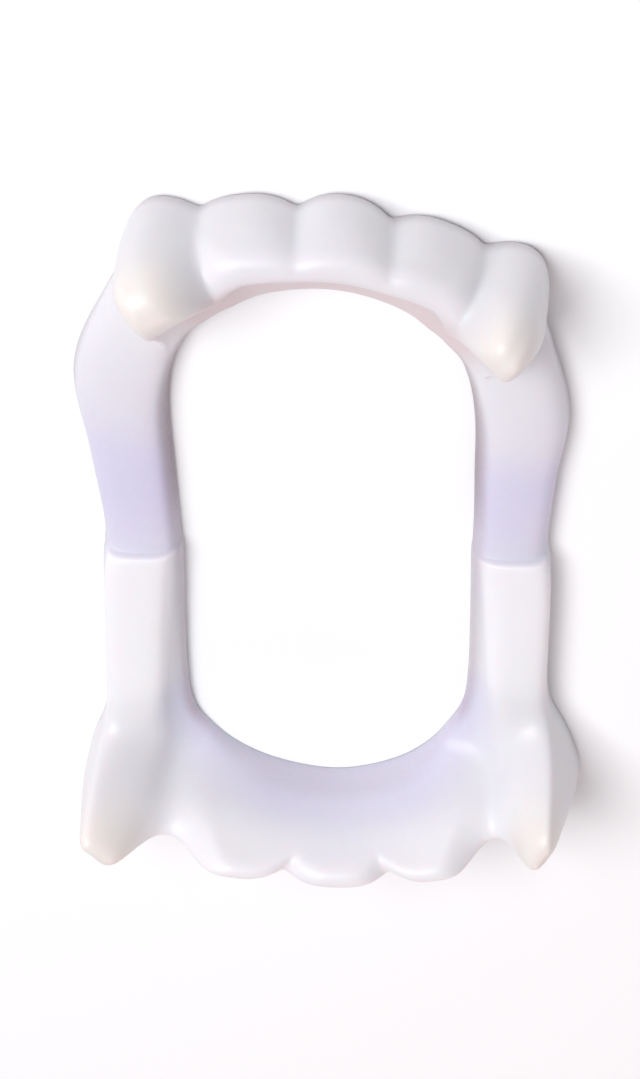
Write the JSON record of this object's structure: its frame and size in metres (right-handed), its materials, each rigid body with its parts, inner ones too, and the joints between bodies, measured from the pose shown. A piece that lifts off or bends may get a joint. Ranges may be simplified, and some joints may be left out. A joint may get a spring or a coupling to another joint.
{
  "type": "glow-in-the-dark false teeth",
  "caption": "One-piece soft plastic false teeth, opened flat: a row with long fangs, a row of round lobes with short fangs, and side straps that fold at a thin hinge line.",
  "frame": {"origin": "centre of the bounding box, on the flat gum side that it rests on", "axes": "+Z from the gum side to the tooth tips, +Y from the upper row to the lower row, +X across"},
  "size_m": [0.0588, 0.0882, 0.0181],
  "materials": {
    "glow_plastic": "soft pale glow-filled plastic, satin gloss, faint lavender where thin"
  },
  "bodies": {
    "root": {"teeth_moulding": "glow_plastic"}
  },
  "joints": []
}
